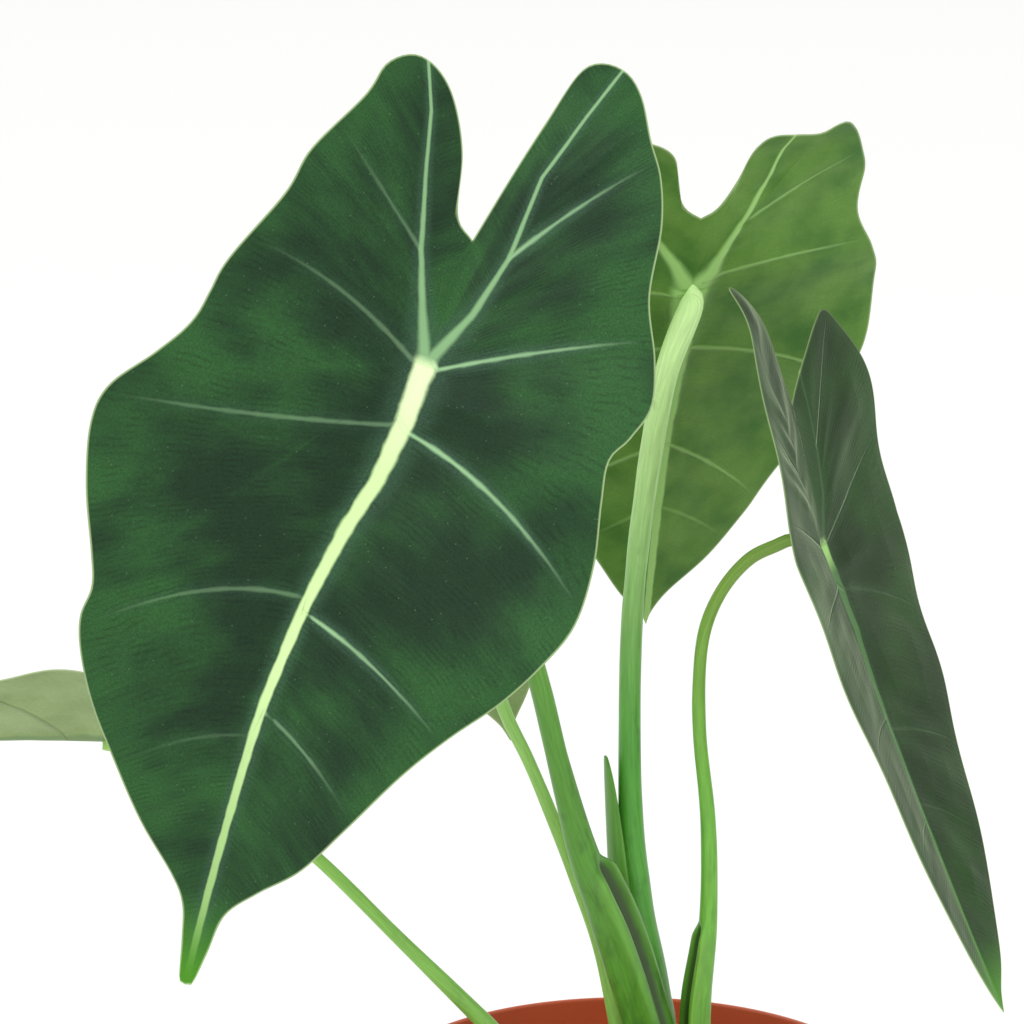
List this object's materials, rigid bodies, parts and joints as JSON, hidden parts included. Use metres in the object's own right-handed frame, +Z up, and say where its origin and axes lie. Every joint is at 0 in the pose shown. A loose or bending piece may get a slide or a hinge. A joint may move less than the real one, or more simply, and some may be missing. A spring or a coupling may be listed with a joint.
{
  "type": "potted alocasia",
  "caption": "Potted foliage plant with arrow-shaped, pale-veined leaves on long sheathed stalks, rooted in soil in a round plastic nursery pot.",
  "frame": {"origin": "centre of the pot's flat underside", "axes": "+Z up the pot's axis; -Y towards the side that the front leaf faces; +X to that viewer's right"},
  "size_m": [0.3113, 0.1624, 0.3589],
  "materials": {
    "pot": "satin",
    "soil": "matte",
    "corm": "matte",
    "dark_blade": "satin",
    "pale_blade": "satin",
    "stalk": "satin",
    "bract": "satin"
  },
  "bodies": {
    "root": {"pot": "pot", "soil": "soil", "corm": "corm", "front_blade": "dark_blade", "young_blade": "pale_blade", "back_blade": "dark_blade", "right_blade": "dark_blade", "left_blade": "pale_blade", "front_stalk": "stalk", "young_stalk": "stalk", "back_stalk": "stalk", "right_stalk": "stalk", "left_stalk": "stalk", "bract": "bract"}
  },
  "joints": []
}
